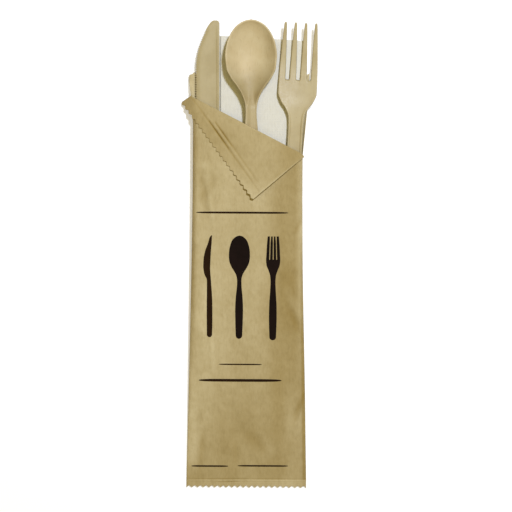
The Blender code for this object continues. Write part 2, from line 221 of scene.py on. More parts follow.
def noiseField(tree, place, scale, detail=3, roughness=0.55, stretch=None):  # cloudy noise, 0 to 1
    if stretch:
        place = addNode(tree, "Mapping", Vector=place, Scale=stretch).outputs[0]
    node = addNode(tree, "TexNoise", Vector=place, Scale=scale, Detail=detail, Roughness=roughness)
    return node.outputs["Fac"]


def spread(tree, value, low, high, to0=0.0, to1=1.0):  # eases a value's range onto another
    node = addNode(tree, "MapRange", {"interpolation_type": "SMOOTHSTEP"}, Value=value)
    for number, limit in zip((1, 2, 3, 4), (low, high, to0, to1)):
        node.inputs[number].default_value = limit
    return node.outputs[0]


def blended(tree, amount, first, second, mode="MIX", clamp=True):  # two colours by an amount
    node = addNode(tree, "Mix", {"data_type": "RGBA", "blend_type": mode, "clamp_factor": clamp})
    for number, value in ((0, amount), (6, first), (7, second)):
        feed(tree, value, node.inputs[number])
    return node.outputs[2]


def newGroup(name, colours, values, outputs):
    # Named inputs, the colours grey and the values 1 until a finish sets them, and named outputs by kind
    group = bpy.data.node_groups.new(name, "ShaderNodeTree")
    for title in colours:
        socket = group.interface.new_socket(name=title, in_out="INPUT", socket_type="NodeSocketColor")
        socket.default_value = (0.5, 0.5, 0.5, 1)
    for title in values:
        socket = group.interface.new_socket(name=title, in_out="INPUT", socket_type="NodeSocketFloat")
        socket.default_value = 1.0
    for title, kind in outputs.items():
        group.interface.new_socket(name=title, in_out="OUTPUT", socket_type="NodeSocket" + kind)
    return group, group.nodes.new("NodeGroupInput").outputs, group.nodes.new("NodeGroupOutput").inputs


def makePaperGroup():
    # Cloudy pulp at three sizes, fibres that run along the sheet, and fine grain for the bump
    group, given, out = newGroup("pulpAndFibres", ["Pale", "Deep"], ["Cloud", "Fibre"],
                                 {"Color": "Color", "Height": "Float"})
    place = addNode(group, "TexCoord").outputs["Object"]
    broad = noiseField(group, place, 38, 4, 0.6)
    middle = noiseField(group, place, 210, 4, 0.6)
    fine = noiseField(group, place, 1500, 3, 0.6)
    fibres = noiseField(group, place, 800, 2, 0.5, (1, 0.3, 1))
    cloud = spread(group, summed(group, (broad, 0.55), (middle, 0.45)), 0.33, 0.67)
    cloudy = worked(group, "MULTIPLY", cloud, given["Cloud"])
    streaky = worked(group, "MULTIPLY", spread(group, fibres, 0.44, 0.72), given["Fibre"])
    colour = blended(group, cloudy, given["Pale"], given["Deep"])
    darker = blended(group, 1.0, colour, (0.8, 0.77, 0.7, 1), "MULTIPLY")
    feed(group, blended(group, streaky, colour, darker), out["Color"])
    feed(group, summed(group, (fine, 0.5), (fibres, 0.5), (middle, 0.6)), out["Height"])
    return group


def makeFibreGroup():
    # Moulded fibre: broad soft clouds from pale to deep, short fibres and sparse darker flecks in the
    # colour, and a fine grain in the roughness and the bump
    group, given, out = newGroup(
        "mouldedFibre", ["Pale", "Deep", "Fibre Color", "Fleck Color"], ["Fibre", "Roughness"],
        {"Color": "Color", "Roughness": "Float", "Height": "Float"})
    place = addNode(group, "TexCoord").outputs["Object"]
    clouds = spread(group, noiseField(group, place, 70, 3), 0.35, 0.65)
    grain = noiseField(group, place, 1100, 3)
    flecks = addNode(group, "TexVoronoi", Vector=place, Scale=430.0, Randomness=1.0)
    fleck = spread(group, flecks.outputs["Distance"], 0.03, 0.12, 1.0, 0.0)
    chosen = spread(group, noiseField(group, place, 300, 2), 0.54, 0.62)
    fleck = worked(group, "MULTIPLY", fleck, chosen)
    fibres = spread(group, noiseField(group, place, 1300, 1, 0.4, (1, 0.15, 1)), 0.6, 0.74)
    fibres = worked(group, "MULTIPLY", fibres, given["Fibre"])
    colour = blended(group, clouds, given["Pale"], given["Deep"])
    colour = blended(group, fibres, colour, given["Fibre Color"])
    feed(group, blended(group, fleck, colour, given["Fleck Color"]), out["Color"])
    matt = spread(group, grain, 0.3, 0.7, -0.06, 0.08)
    feed(group, worked(group, "ADD", matt, given["Roughness"]), out["Roughness"])
    feed(group, summed(group, (grain, 0.6), (clouds, 0.5)), out["Height"])
    return group


def makeToneGroup():  # the colour, moved towards colour x tint by the tone; a tone below 0 pales it
    group, given, out = newGroup("tintByTone", ["Color", "Tint"], ["Tone"], {"Color": "Color"})
    tinted = blended(group, 1.0, given["Color"], given["Tint"], "MULTIPLY")
    feed(group, blended(group, given["Tone"], given["Color"], tinted, clamp=False), out["Color"])
    return group


paperGroup, fibreGroup, toneGroup = makePaperGroup(), makeFibreGroup(), makeToneGroup()


def newFinish(name, look):  # a material with its plain roughness and gloss
    finish = bpy.data.materials.new(name)
    finish.use_nodes = True
    shader = finish.node_tree.nodes["Principled BSDF"]
    shader.inputs["Roughness"].default_value = look["roughness"]
    shader.inputs["Specular IOR Level"].default_value = look["gloss"]
    return finish, finish.node_tree, shader


def dress(tree, shader, look, colour, height):  # bump, and colour by the corners' tone and painted shade and light if it has a tint
    if "tint" in look:
        toneAndPaintedLight = addNode(tree, "Attribute", {"attribute_name": "toneAndPaintedLight"}).outputs["Fac"]
        toned = addNode(tree, "Group", {"node_tree": toneGroup}, Color=colour, Tint=(*look["tint"], 1),
                        Tone=toneAndPaintedLight)
        colour = toned.outputs["Color"]
    feed(tree, colour, shader.inputs["Base Color"])
    bump = addNode(tree, "Bump", Height=height, Distance=look["bump"], Strength=1.0)
    feed(tree, bump.outputs[0], shader.inputs["Normal"])


def makePaperFinish(name, look):  # pulp, with swelling x crumple or dots x their depth added to its height
    finish, tree, shader = newFinish(name, look)
    pulp = addNode(tree, "Group", {"node_tree": paperGroup}, Pale=(*look["pale"], 1),
                   Deep=(*look["deep"], 1), Cloud=look["cloud"], Fibre=look["fibre"])
    height = pulp.outputs["Height"]
    place = addNode(tree, "TexCoord").outputs["Object"]
    if "crumple" in look:  # broad uneven swelling of handled paper
        swelling = noiseField(tree, place, 70, 3, 0.55, (1, 0.55, 1))
        height = summed(tree, (height, 1.0), (swelling, look["crumple"]))
    if "emboss" in look:  # small raised dots in rows
        dots = addNode(tree, "TexVoronoi", {"voronoi_dimensions": "2D"}, Vector=place, Scale=look["emboss"],
                       Randomness=0.15)
        bead = spread(tree, dots.outputs["Distance"], 0.1, 0.42, 1.0, 0.0)
        height = summed(tree, (height, 0.35), (bead, look["embossDepth"]))
    dress(tree, shader, look, pulp.outputs["Color"], height)
    return finish


def makeFibreFinish(name, look):  # moulded fibre in the look's own colours
    finish, tree, shader = newFinish(name, look)
    fibre = addNode(tree, "Group", {"node_tree": fibreGroup}, **{
        "Pale": (*look["pale"], 1), "Deep": (*look["deep"], 1), "Fibre Color": (*look["fibreColour"], 1),
        "Fleck Color": (*look["fleckColour"], 1), "Fibre": look["fibre"], "Roughness": look["roughness"]})
    feed(tree, fibre.outputs["Roughness"], shader.inputs["Roughness"])
    dress(tree, shader, look, fibre.outputs["Color"], fibre.outputs["Height"])
    return finish


kraftLook = dict(
    pale=(0.52, 0.435, 0.25), deep=(0.42, 0.335, 0.165), cloud=0.6, fibre=0.35,
    roughness=0.82, gloss=0.22, bump=0.00012, tint=(0.78, 0.73, 0.6), crumple=17.0,
)
inkLook = dict(
    pale=(0.011, 0.005, 0.004), deep=(0.006, 0.003, 0.002), cloud=0.8, fibre=0.5,
    roughness=0.75, gloss=0.08, bump=0.0001,
)
brownInkLook = dict(inkLook, pale=(0.022, 0.009, 0.002), deep=(0.012, 0.004, 0.001))
tissueLook = dict(
    pale=(0.7, 0.69, 0.63), deep=(0.65, 0.64, 0.57), cloud=0.5, fibre=0.2,
    roughness=0.92, gloss=0.1, bump=0.00016, emboss=620, embossDepth=0.25,
)
forkLook = dict(
    pale=(0.465, 0.392, 0.225), deep=(0.415, 0.34, 0.182), fibreColour=(0.37, 0.29, 0.15),
    fleckColour=(0.27, 0.19, 0.09), fibre=0.3, roughness=0.46, gloss=0.45, bump=0.00004,
)
knifeLook = dict(forkLook, pale=(0.43, 0.36, 0.2), deep=(0.385, 0.316, 0.163))
spoonLook = dict(
    forkLook, pale=(0.59, 0.5, 0.31), deep=(0.535, 0.435, 0.25), tint=(0.66, 0.63, 0.53), roughness=0.58)

kraftFinish = makePaperFinish("kraftPaper", kraftLook)
inkFinish = makePaperFinish("blackBrownInk", inkLook)
brownInkFinish = makePaperFinish("brownInk", brownInkLook)
tissueFinish = makePaperFinish("softTissue", tissueLook)
bambooFinish = makeFibreFinish("bambooFibre", forkLook)
greyBambooFinish = makeFibreFinish("greyBambooFibre", knifeLook)
warmBambooFinish = makeFibreFinish("warmBambooFibre", spoonLook)
print("finishes made")


# The paper pouch: one folded sheet, so one surface
pouch = dict(
    width=0.0774, top=0.1352, sealLine=-0.13, bottom=-0.1352, wall=0.0003, sealHeight=0.00064,
    fullFrom=0.055, height=0.01046, mouthHeight=0.00546, flattening=1.5,
    foldLeft=0.1194, foldRight=0.0795, foldRadius=0.00035, tear=0.0003,
    cornerLeft=(-0.043, 0.116), cornerLow=(0.0042, 0.0523), curl=0.001875, pressed=0.0005,
    droop=math.radians(35), teeth=21, toothDepth=0.0014, perTooth=6, backPerTooth=4,
    widening=0.012, shift=0.0003,  # the lower half lies a little wider and further right
    stripWidening=0.0014, stripCorner=0.003, stripStands=0.0024,  # the strip behind the cutlery
    ribPitch=0.0013, ribHeight=0.00003, bandHeight=0.00018, lapHeight=0.00011,
    hatchPitch=0.0016, hatchHeight=0.00006, waver=0.00009,
    creaseGain=1.6, creasePaintedShade=1400, strokeTone=2600,  # how strongly creases show: in height, in painted shade and light on the front's creases, and in the dark of the strokes and seal lines
    # Soft hollows and swellings of the front: middle x, y, half widths, height
    hollows=metres([
        (-11.5, 20, 8, 60, -0.55), (14.5, 15, 7.5, 55, -0.5), (-30, 60, 8, 40, -1.1),
        (33, 20, 6, 50, -0.45), (0, -70, 18, 30, 0.5), (-20, -85, 12, 20, -0.45),
        (24, -60, 10, 28, -0.5),
    ]),
    # Creases: from x, y to x, y, half width, height
    creases=metres([
        (-34, 85, -26.5, 40, 2.2, -0.3), (-29, 85, -21.5, 30, 1.8, 0.26),
        (35.1, 40.3, 31.2, 31.2, 1.3, -0.42), (37, 37.7, 33.8, 28.6, 1.3, 0.42),
        (26.7, -7.8, 33.8, -24.7, 2.8, 0.36), (29.3, -20.8, 36.4, -39, 2.4, -0.38),
        (-22.8, -36.4, -21.5, -59.8, 1.5, 0.36), (37, -74.8, 31.5, -89.7, 2, -0.48),
        (-2, -98.8, 9.8, -107.9, 4, -0.32), (9.8, -101.4, 18.2, -111.8, 3, 0.26),
        (-36.4, -20.8, -29.3, -32.5, 3, 0.3), (-35.1, 94.3, -28, 76.7, 3.6, -0.34),
        (-20.8, 66.3, -30.6, 52, 2.8, -0.34), (-33.2, 74.8, -22.8, 72.8, 2.8, 0.28),
        (-25.7, 0, -27, -120, 4, 0.16), (33, -100, 37, -78, 1.6, 0.26),
        (-34, -110, -24, -85, 2.4, 0.22), (6, -122, 20, -108, 2.6, 0.18),
        (-30, -122, -27, -95, 1.8, -0.18), (25, -124, 30, -100, 1.8, -0.18),
        (-6, -124, -8, -100, 2, -0.16), (12, -30, 15, -98, 3, 0.12),
    ]),
    # Lines pressed into the seal, with the same measures
    sealLines=metres([
        (-39, -130, 0, -129.6, 0.38, -0.22), (-6, -129.6, 39, -129.8, 0.38, -0.14),
        (-39, -130.8, 39, -130.6, 0.5, 0.12), (-18, -131.8, -4, -131.4, 0.36, -0.28),
    ]),
)


def bulge(y):
    # Height of the pouch: from the seal it grows by the mean of a straight line and a quarter sine,
    # and it eases down to the mouth's left corner
    t = np.clip((y - pouch["sealLine"]) / (pouch["fullFrom"] - pouch["sealLine"]), 0, 1)
    grown = (t + np.sin(math.pi / 2 * t)) / 2
    height = pouch["sealHeight"] + (pouch["height"] - pouch["sealHeight"]) * grown
    middle = (pouch["foldLeft"] + pouch["foldRight"]) / 2
    return height + (pouch["mouthHeight"] - pouch["height"]) * ramp(y, middle, pouch["foldLeft"])


def levelHalf(height):  # half width of the flat part: half the sheet less the round side's quarter circle
    return pouch["width"] / 2 - math.pi / 4 * height


def section(across, height):  # flat sheet with round sides: x, and the rise from mid height
    radius = height / 2
    level = levelHalf(height)
    turn = np.clip((np.abs(across) - level) / radius, 0, math.pi / 2)
    x = np.where(np.abs(across) <= level, across, np.copysign(level + radius * np.sin(turn), across))
    return x, radius * np.cos(turn)


def roundSide(x, height):  # rise from mid height at x: a quarter circle past the flat part
    past = np.maximum(np.abs(x) - levelHalf(height), 0)
    return np.sqrt(np.maximum((height / 2) ** 2 - past ** 2, 0))


def creaseHeight(x, y, rows):  # ridges and grooves: a bell curve of the distance from each segment
    total = 0
    for x0, y0, x1, y1, wide, high in rows:
        along = np.array([x1 - x0, y1 - y0])
        t = ((x - x0) * along[0] + (y - y0) * along[1]) / (along ** 2).sum()
        near = np.clip(t, 0, 1)
        gap = np.hypot(x - x0 - near * along[0], y - y0 - near * along[1])
        fade = 0.35 + 0.65 * np.sin(math.pi * np.clip(near, 0.08, 0.92))  # weaker towards its ends
        total = total + high * bell(gap, 0, wide) * fade
    return total


def frontRelief(x, y):
    # Creases, hollows between what lies inside (a bell curve in x times one in y) and a slow waver of
    # sines, faded to nothing at the sides and the seal. The spoon's neck holds the paper up.
    total = pouch["creaseGain"] * creaseHeight(x, y, pouch["creases"])
    for x0, y0, halfX, halfY, high in pouch["hollows"]:
        total = total + high * bell(x, x0, halfX) * bell(y, y0, halfY)
    waver = np.sin(190 * x + 60 * y) * np.sin(75 * y + 1.3)
    waver = waver + 0.6 * np.sin(310 * x - 130 * y + 0.7) * np.sin(40 * y)
    total = total + pouch["waver"] * waver
    height = bulge(y)
    side = eased((levelHalf(height) + 0.42 * height - np.abs(x)) / 0.005)
    seal = ramp(y, pouch["sealLine"] + 0.002, pouch["sealLine"] + 0.014)
    held = 0.9 * bell(x, 0.0045, 0.01) * ramp(y, 0.03, 0.05)
    return np.where(total < 0, total * (1 - held), total) * side * seal


def flapRise(x, y):
    # Lower face of the flap: a circle about the pouch's edge on the right; on the left it leaves that
    # circle where it droops by the angle, and goes straight on
    height = bulge(y)
    radius = height / 2
    outer = radius + 2 * pouch["foldRadius"]
    past = np.maximum(np.abs(x) - levelHalf(height), 0)
    leaves = outer * math.sin(pouch["droop"])
    onRound = radius + np.sqrt(np.maximum(outer ** 2 - past ** 2, 0))
    straight = radius + outer * math.cos(pouch["droop"]) - math.tan(pouch["droop"]) * (past - leaves)
    return np.where((x > 0) | (past <= leaves), onRound, straight)


flapLow, flapLeft = np.array(pouch["cornerLow"]), np.array(pouch["cornerLeft"])
flapAlong = (flapLow - flapLeft) / np.linalg.norm(flapLow - flapLeft)
flapInward = np.array([-flapAlong[1], flapAlong[0]])


def besideEdge(share, inward):  # a point by its share along the flap's serrated edge and distance from it
    return flapLeft + (flapLow - flapLeft) * share + flapInward * inward


# Creases pressed into the flap near its serrated edge: from a point to a point, half width, height
flapCreases = [
    (*besideEdge(0.02, 0.0064), *besideEdge(0.97, 0.0056), 0.00055, -0.00026),
    (*besideEdge(0.05, 0.0078), *besideEdge(0.85, 0.0072), 0.0006, 0.00026),
    (*besideEdge(0.3, 0.0096), *besideEdge(0.95, 0.0084), 0.00055, -0.00018),
    (*besideEdge(0.27, 0.0066), *besideEdge(0.54, 0.0062), 0.00045, -0.00045),
    (*besideEdge(0.31, 0.0092), *besideEdge(0.54, 0.0088), 0.00045, -0.00045),
]
paintedEdgeHighlight = (0.0365, 0.0795, *flapLow, 0.0009, -1.8)  # painted highlight: the flap's plain edge, made pale as its lit rim


def paperToneAndPaintedLight(x, y):
    # Painted shade and light, with streaks of tone. Each patch is a product of ramps. Deeper patches (painted
    # shade) are joined like covers laid over each other; streaks, pale patches (painted highlights) and the
    # dark right rim (painted shade) are added to them.
    # painted shade over the right part, left off at the round right edge, which is left pale as lit
    right = 0.95 + 0.3 * ramp(y, -0.05, -0.02) * ramp(y, 0.02, 0)
    right = right * ramp(x, 0.005, 0.024) * ramp(x, 0.036, 0.03)
    # painted shade growing towards the lower right
    lower = 0.75 * ramp(0.9 * x - y, 0.015, 0.11)
    # painted shade on the round left side and, lower down, towards the left
    left = 0.9 * ramp(x, -0.032, -0.036) * ramp(y, -0.065, -0.015)
    left = left + 0.5 * ramp(x, -0.018, -0.028) * ramp(y, -0.088, -0.103)
    streaks = 0.14 * np.sin(260 * x + 22 * y + 1) * np.sin(34 * y + 60 * x)
    # painted highlights: a pale strip along the lower left edge and two pale stripes
    pale = 1.1 * ramp(x, -0.029, -0.034) * ramp(y, -0.055, -0.1) * ramp(y, -0.13, -0.112)
    pale = pale + 0.45 * bell(x, -0.0275, 0.003) * ramp(y, 0.015, -0.015) * ramp(y, -0.06, -0.02)
    pale = pale + 0.55 * bell(x, 0.0285, 0.005) * ramp(y, -0.055, -0.085)
    # painted shade along the round right edge, left off near the top
    side = levelHalf(bulge(y)) + bulge(y) / 2
    rim = 0.85 * ramp(x, side - 0.0021, side - 0.0009) * ramp(y, 0.03, 0.01)
    return 1 - (1 - right) * (1 - lower) * (1 - left) + streaks - pale + rim


def flapToneAndPaintedLight(x, y):  # painted shade deeper at both sides, painted highlights near its curled low corner and along its free edge, dark in the strokes, with a waver of tone
    toneAndPaintedLight = 0.55 + 0.35 * ramp(x, -0.012, -0.032) + 0.12 * np.sin(150 * x + 40 * y) * np.sin(90 * y)
    toneAndPaintedLight = toneAndPaintedLight - 0.75 * bell(x, flapLow[0], 0.013) * bell(y, flapLow[1], 0.013)
    toneAndPaintedLight = toneAndPaintedLight + 0.4 * ramp(x, 0.012, 0.028)
    strokes = [(*row[:4], row[4] * 1.1, -row[5] * pouch["strokeTone"]) for row in flapCreases if row[5] < 0]
    return toneAndPaintedLight + creaseHeight(x, y, [paintedEdgeHighlight] + strokes)


def foldLine(across):  # straight, from the left end's height to the right end's
    return pouch["foldLeft"] + (pouch["foldRight"] - pouch["foldLeft"]) * (across / pouch["width"] + 0.5)


def toothWave(across):  # triangle wave, 0 at the ends of the sheet
    phase = (across / pouch["width"] + 0.5) * pouch["teeth"]
    return pouch["toothDepth"] * (1 - np.abs(2 * (phase % 1) - 1))


def acrossStations(perTooth):  # paper lengths across one panel, with a narrow strip at each torn side
    half = pouch["width"] / 2
    inner = np.linspace(-half + pouch["tear"], half - pouch["tear"], pouch["teeth"] * perTooth + 1)
    return np.concatenate([[-half], inner, [half]])


def flapPoints(across, share):
    # Ruled from the fold line to the serrated edge. It rests on the front, is pressed down along its
    # middle, and curls up towards its free edge by a root of the share.
    side = across / pouch["width"] + 0.5
    fold = foldLine(across)
    outside = np.maximum(np.abs(side - 0.5) - 0.4, 0) * 10  # 0 to 1 over the last tenth at each side
    startX = section(across, bulge(fold))[0] + pouch["foldRadius"] * outside * np.copysign(1, across)
    tooth = toothWave(across) * ramp(share, 0.93, 1)
    end = flapLeft + (flapLow - flapLeft) * side[..., None] - flapInward * tooth[..., None]
    x = startX + (end[..., 0] - startX) * share
    y = fold + (end[..., 1] - fold) * share
    z = flapRise(x, y) + frontRelief(x, y) + creaseHeight(x, y, flapCreases)
    pressed = pouch["pressed"] * ramp(share, 0.45, 0.9) * ramp(side, 0.06, 0.18) * ramp(side, 0.97, 0.85)
    curl = pouch["curl"] * share ** 0.5 * ramp(side, 0.62, 1) * (1 - 0.3 * ramp(share, 0.8, 1))
    return grid(x, y, z - pressed + curl)


def makeTube(across, isFront):
    # Rows from the serrated lower edge to the fold line, crowded at the seal: the section at each
    # height, with the front's relief, the seal's ribs and lines, and the glued lap along the back
    sealLine, bottom = pouch["sealLine"], pouch["bottom"]
    denseTo = bottom + 1.5 * (sealLine - bottom)
    cut = (denseTo - bottom) / (pouch["foldLeft"] - bottom)
    shares = stations((0, cut, 30), (cut, 1, 124))[:, None]
    fold = foldLine(across)
    lower = bottom + toothWave(across)
    y = np.where(shares <= cut, lower + (denseTo - lower) * shares / cut,
                 denseTo + (fold - denseTo) * (shares - cut) / (1 - cut))
    height = bulge(y)
    x, rise = section(across, height)
    z = height / 2 + np.where(isFront, rise + frontRelief(x, y), -rise)
    inSeal = ramp(y, sealLine + 0.0004, sealLine - 0.0004)
    ribs = pouch["ribHeight"] * np.sin((y - sealLine) * 2 * math.pi / pouch["ribPitch"]) * inSeal
    seams = creaseHeight(x, y, pouch["sealLines"])
    level = eased((pouch["width"] / 2 - np.abs(x)) / 0.0012)
    z = z + np.where(isFront, (ribs + seams + pouch["bandHeight"] * inSeal) * level, 0)
    lap = ramp(np.abs(x - 0.004), 0.0062, 0.0068) * ramp(np.abs(x), 0.03, 0.026)
    z = z + np.where(isFront, 0, pouch["lapHeight"] * lap * ramp(y, sealLine, sealLine + 0.004))
    spare = ramp(y, 0.02, -0.08)
    x = x * (1 + pouch["widening"] * spare) + pouch["shift"] * spare
    # Painted shade and light of the front, less in the seal and paler there towards the right; darker in the
    # seal's pressed lines; painted shade in the creases' grooves and painted light on their ridges
    toneAndPaintedLight = paperToneAndPaintedLight(x, y) * (1 - 0.45 * inSeal) - 0.4 * inSeal * ramp(x, -0.01, 0.03)
    toneAndPaintedLight = toneAndPaintedLight - pouch["strokeTone"] * np.minimum(seams, 0)
    toneAndPaintedLight = toneAndPaintedLight - pouch["creasePaintedShade"] * creaseHeight(x, y, pouch["creases"])
    return grid(x, y, z), np.where(isFront, toneAndPaintedLight, 0.35)


def makeFlap(edge, across):
    # Past the fold line at the front: half an ellipse from the tube's edge up to the flap, and the flap
    start = flapPoints(across, np.zeros_like(across))
    turn = np.radians(np.linspace(0, 180, 11)[1:])[:, None, None]
    outward = np.array([pouch["foldLeft"] - pouch["foldRight"], pouch["width"], 0])
    outward = outward / np.linalg.norm(outward) * np.linalg.norm(start - edge, axis=2, keepdims=True) / 2
    arc = edge + (start - edge) * (1 - np.cos(turn)) / 2 + outward * np.sin(turn)
    down = stations((0, 0.82, 44), (0.82, 1, 16))[1:, None]
    size = (len(down), across.shape[1])
    return np.concatenate([arc, flapPoints(np.broadcast_to(across, size), np.broadcast_to(down, size))])


def makeStrip(across, rows):
    # Past the fold line at the back: the section, flattened by a power of the way up to the serrated
    # top. Its left corner is worn round and stands up a little, over a fine pressed hatch.
    fold = foldLine(across)
    up = np.linspace(0, 1, rows + 1)[1:, None]
    height = bulge(fold) * (1 - up) ** pouch["flattening"]
    x, rise = section(across, height)
    corner = pouch["stripCorner"] * (1 - roundEnd(across + pouch["width"] / 2, 0.0035))
    y = fold + (pouch["top"] - toothWave(across) * up ** 6 - corner - fold) * up
    hatch = pouch["hatchHeight"] * np.sin(y * 2 * math.pi / pouch["hatchPitch"])
    hatch = hatch * bell(across, -0.034, 0.004) * ramp(y, 0.121, 0.124)
    x = x + pouch["stripWidening"] * eased(up) * ramp(across, 0.02, 0.0387)
    stands = pouch["stripStands"] * ramp(x, -0.0325, -0.0355) * ramp(y, 0.112, 0.118)
    return grid(x, y, height / 2 - rise + 0.00003 + hatch + stands)


def makePouch():  # one grid: across the front and then the back, up the tube and on past the fold line
    front = acrossStations(pouch["perTooth"])
    back = acrossStations(pouch["backPerTooth"])[::-1]
    across = np.concatenate([front, back[1:]])[None, :]
    frontCount = len(front)
    tube, tubeTone = makeTube(across, np.arange(across.shape[1]) < frontCount)
    flap = makeFlap(tube[-1:, :frontCount], front[None, :])
    strip = makeStrip(across[:, frontCount:], len(flap))
    points = np.concatenate([tube, np.concatenate([flap, strip], axis=1)])
    # the flap gets its tone and painted light; the strip behind the cutlery is painted paler, painted light
    # where the knife shades it
    pastFold = [flapToneAndPaintedLight(flap[..., 0], flap[..., 1]), np.full(strip.shape[:2], -0.45)]
    toneAndPaintedLight = np.concatenate([tubeTone, np.concatenate(pastFold, axis=1)])
    rows, columns = points.shape[:2]
    keep = allFaces(points)
    torn = [0, frontCount - 2, frontCount - 1, columns - 2]  # past the fold the side folds are torn open
    keep[len(tube) - 1:, torn] = False
    quads = gridQuads(rows, columns, keep)
    piece = addPiece("kraftBag", points, quads, kraftFinish, "kraft_paper", "kraft_bag", toneAndPaintedLight=toneAndPaintedLight)
    addWall(piece, "wall", pouch["wall"], -1)
    return piece


kraftBag = makePouch()
print("kraft bag made:", len(kraftBag.data.polygons), "faces")


# Printed figures and plain rules on the front, each a thin film on the paper
printed = dict(
    lift=0.00007, film=0.00004, top=0.0288,
    knifeX=-0.023, knifeLength=0.066, spoonX=-0.005, spoonLength=0.0669, forkX=0.0169, forkLength=0.0674,
    slots=0.0151, forkDrop=0.0004, knifeRound=0.0018, spoonRound=0.002, forkRound=0.002,
    # Outlines: distance from the top, then x from the middle, on one side or on each
    spoonHalf=metres([
        (0, 0.1), (0.4, 1.7), (1.3, 3.1), (3, 4.7), (6, 5.9), (10, 6.7), (13.5, 6.85), (17, 6.4),
        (20.5, 5), (23.2, 3.3), (26, 1.9), (29, 1.4), (33, 1.5), (40, 2.2), (48, 2.55), (56, 2.4),
        (66.9, 2),
    ]),
    knifeLeft=metres([
        (0, -0.3), (1, -1.2), (5, -2.4), (10, -4.2), (15, -5.2), (20, -5.4), (24, -4.9), (27, -3.8),
        (28.4, -3), (31, -2.95), (48, -3), (66, -2.8),
    ]),
    knifeRight=metres([
        (0, 0.3), (1, 0.1), (4, 0), (12, -0.6), (22, -0.9), (30, -0.3), (44, 0.6), (56, 0.7), (66, 0.5),
    ]),
    forkHalf=metres([
        (0, 3.6), (6, 4.1), (12, 4.4), (15.5, 4.6), (18.5, 4.3), (22, 3), (25.5, 1.9), (29.5, 1.6),
        (35, 1.8), (45, 2.4), (52, 2.5), (67.4, 2.1),
    ]),
    # Rules: middle x, y, half length, half height
    rules=metres([
        (-3.3, 43.7, 30, 0.6), (-4, -54.8, 14, 0.4), (-4, -65.2, 27, 0.85), (-23.5, -121.3, 12, 0.48),
        (11, -121, 16.5, 0.48),
    ]),
)


def frontTop(x, y):  # height of the pouch's front face
    return bulge(y) / 2 + roundSide(x, bulge(y)) + frontRelief(x, y)


def addPrint(name, plan, finish, keep=None):  # a flat grid laid on the front face and thickened upwards
    x, y = plan[..., 0], plan[..., 1]
    points = grid(x, y, frontTop(x, y) + printed["lift"] + printed["film"])
    piece = addPiece(name, points, gridQuads(*plan.shape[:2], keep, flip=True), finish, "kraft_paper")
    addWall(piece, "film", printed["film"], -1)


def stripPlan(knotsLeft, knotsRight, centre, length, endRound, columns, rows=90):
    # Down from the top: each row runs straight from the left outline to the right outline, and both
    # close in by a quarter circle at the lower end
    gone = length * (1 - np.cos(np.linspace(0, math.pi, rows))) / 2
    left, right = curveThrough(knotsLeft, gone), curveThrough(knotsRight, gone)
    squeeze = roundEnd(length - gone, endRound)
    middle = (left + right) / 2
    left, right = middle + (left - middle) * squeeze, middle + (right - middle) * squeeze
    x = centre + left[:, None] + (right - left)[:, None] * np.linspace(0, 1, columns)
    return grid(x, printed["top"] - gone[:, None])


def makePrintedStrips():  # the knife and the spoon, each between its two outlines
    p = printed
    plan = stripPlan(p["knifeLeft"], p["knifeRight"], p["knifeX"], p["knifeLength"], p["knifeRound"], 15)
    addPrint("printedKnife", plan, brownInkFinish)
    left = [(gone, -width) for gone, width in p["spoonHalf"]]
    plan = stripPlan(left, p["spoonHalf"], p["spoonX"], p["spoonLength"], p["spoonRound"], 25)
    addPrint("printedSpoon", plan, inkFinish)


def makePrintedFork():
    # Columns at the tines' edges, so the slots are left out of the grid above their lower ends
    p = printed
    length, slots = p["forkLength"], p["slots"]
    gone = np.concatenate([np.linspace(0, slots, 30), np.linspace(slots, length, 80)[1:-12],
                           length - 0.0067 + closingIn(0.0067, 12)])
    half = curveThrough(p["forkHalf"], gone) * roundEnd(length - gone, p["forkRound"])
    narrow = (0.62 - 0.3 * np.clip(gone / 0.004, 0, 1)) / 4  # the slots close a little downwards
    edges = np.arange(4)[None, :]
    left = -1 + edges / 2 + narrow[:, None] * (edges > 0) * 0.75
    right = -1 + (edges + 1) / 2 - narrow[:, None] * (edges < 3) * 0.75
    t = np.linspace(0, 1, 5)
    share = (left[..., None] + (right - left)[..., None] * t).reshape(len(gone), 20)
    plan = grid(p["forkX"] + half[:, None] * share, (p["top"] - p["forkDrop"] - gone)[:, None])
    keep = allFaces(plan)
    keep[:29, 4::5] = False
    addPrint("printedFork", plan, inkFinish, keep)


def makeRule(number, x0, y0, halfX, halfY):
    # Lens-shaped bar: its half height times the root of one minus the sixth power of the way along
    t = np.linspace(-1, 1, 121)[:, None]
    s = np.linspace(-1, 1, 7)[None, :]
    tall = halfY * np.sqrt(np.maximum(1 - np.abs(t) ** 6, 0))
    addPrint(f"printedRule{number}", grid(x0 + halfX * t, y0 - tall * s), brownInkFinish)


makePrintedStrips()
makePrintedFork()
for number, rule in enumerate(printed["rules"], 1):
    makeRule(number, *rule)
print("print made")


# The cutlery: each piece is drawn down from its tip, and its handle ends in a quarter circle
cutlery = dict(length=0.17, seat=0.00266, handleEnd=0.006, low=-0.00206)


def handleRows(start, rows):  # from a distance past the tip down to the handle's end, crowded there
    fullTo = cutlery["length"] - cutlery["handleEnd"]
    end = fullTo + closingIn(cutlery["handleEnd"], 14)
    return np.concatenate([np.linspace(start, fullTo, rows)[1:-1], end])


def handleRound(gone):  # share of the full width at the handle's end
    return roundEnd(cutlery["length"] - gone, cutlery["handleEnd"])


def addCutlery(nodeName, piece, top, bottom, finish, keep=None, toneAndPaintedLight=None):  # one closed moulded form
    form = closedForm(placed(top, piece), placed(bottom, piece), keep)
    made = addPiece(nodeName + "Piece", *form, finish, "bamboo_fibre", nodeName, recalc=True, toneAndPaintedLight=toneAndPaintedLight)
    print(nodeName, "made:", len(made.data.polygons), "faces")


